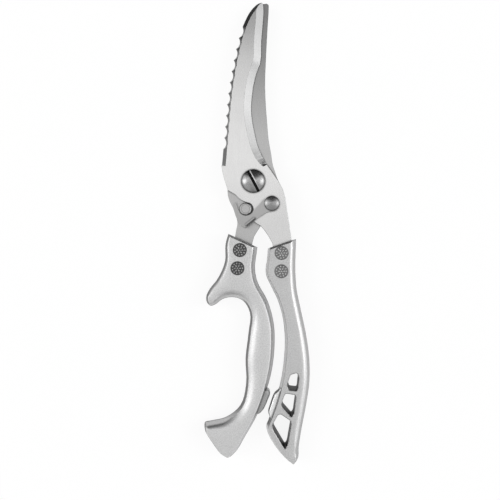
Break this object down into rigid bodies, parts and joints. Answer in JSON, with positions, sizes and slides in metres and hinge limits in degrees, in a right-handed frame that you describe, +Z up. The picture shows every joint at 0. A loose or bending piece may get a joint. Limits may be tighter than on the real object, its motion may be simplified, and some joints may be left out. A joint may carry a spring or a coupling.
{
  "type": "kitchen shears",
  "caption": "Kitchen shears with a scaler-toothed front blade, a slotted pivot screw, a thumb catch on a locking stud, a finger-hook grip and an openwork grip.",
  "frame": {"origin": "middle of the closed, locked shears lying on the backs of their grips, at the surface they lie on", "axes": "+Y towards the blade tips, +Z up out of the face with the screw head and the catch, +X towards the openwork grip"},
  "size_m": [0.0582, 0.255, 0.0137],
  "materials": {
    "front_steel": "satin ground",
    "rear_steel": "satin ground",
    "polished_steel": "polished",
    "washer_steel": "plain",
    "nut_steel": "plain",
    "spring_steel": "drawn wire",
    "catch_steel": "satin",
    "stud_steel": "turned",
    "hook_cast": "blasted casting",
    "window_cast": "blasted casting",
    "rivet_steel": "patterned, darkened",
    "pin_steel": "plain"
  },
  "bodies": {
    "front_half": {"front_blade": "front_steel", "pivot_screw": "polished_steel", "pivot_washer": "washer_steel", "pivot_nut": "nut_steel", "return_spring": "spring_steel", "catch_rivet": "polished_steel", "catch_washer": "washer_steel", "window_grip": "window_cast", "window_upper_rivet": "rivet_steel", "window_upper_rivet_pin": "pin_steel", "window_lower_rivet": "rivet_steel", "window_lower_rivet_pin": "pin_steel"},
    "rear_half": {"rear_blade": "rear_steel", "hook_grip": "hook_cast", "locking_stud": "stud_steel", "hook_upper_rivet": "rivet_steel", "hook_upper_rivet_pin": "pin_steel", "hook_lower_rivet": "rivet_steel", "hook_lower_rivet_pin": "pin_steel"},
    "catch": {"catch_plate": "catch_steel"}
  },
  "joints": [
    {"name": "blade_pivot", "type": "hinge", "parent": "front_half", "child": "rear_half", "pos_m": [-0.00204, 0.0285, 0.0065], "axis": [0, 0, -1], "range_deg": [0, 36], "deforming": ["return_spring"]},
    {"name": "catch_swing", "type": "hinge", "parent": "front_half", "child": "catch", "pos_m": [0.00826, 0.0162, 0.0106], "axis": [0, 0, 1], "range_deg": [0, 90]}
  ],
  "couplings": [
    {"joint": "catch_swing", "follows": "blade_pivot", "ratio": 2.5}
  ]
}
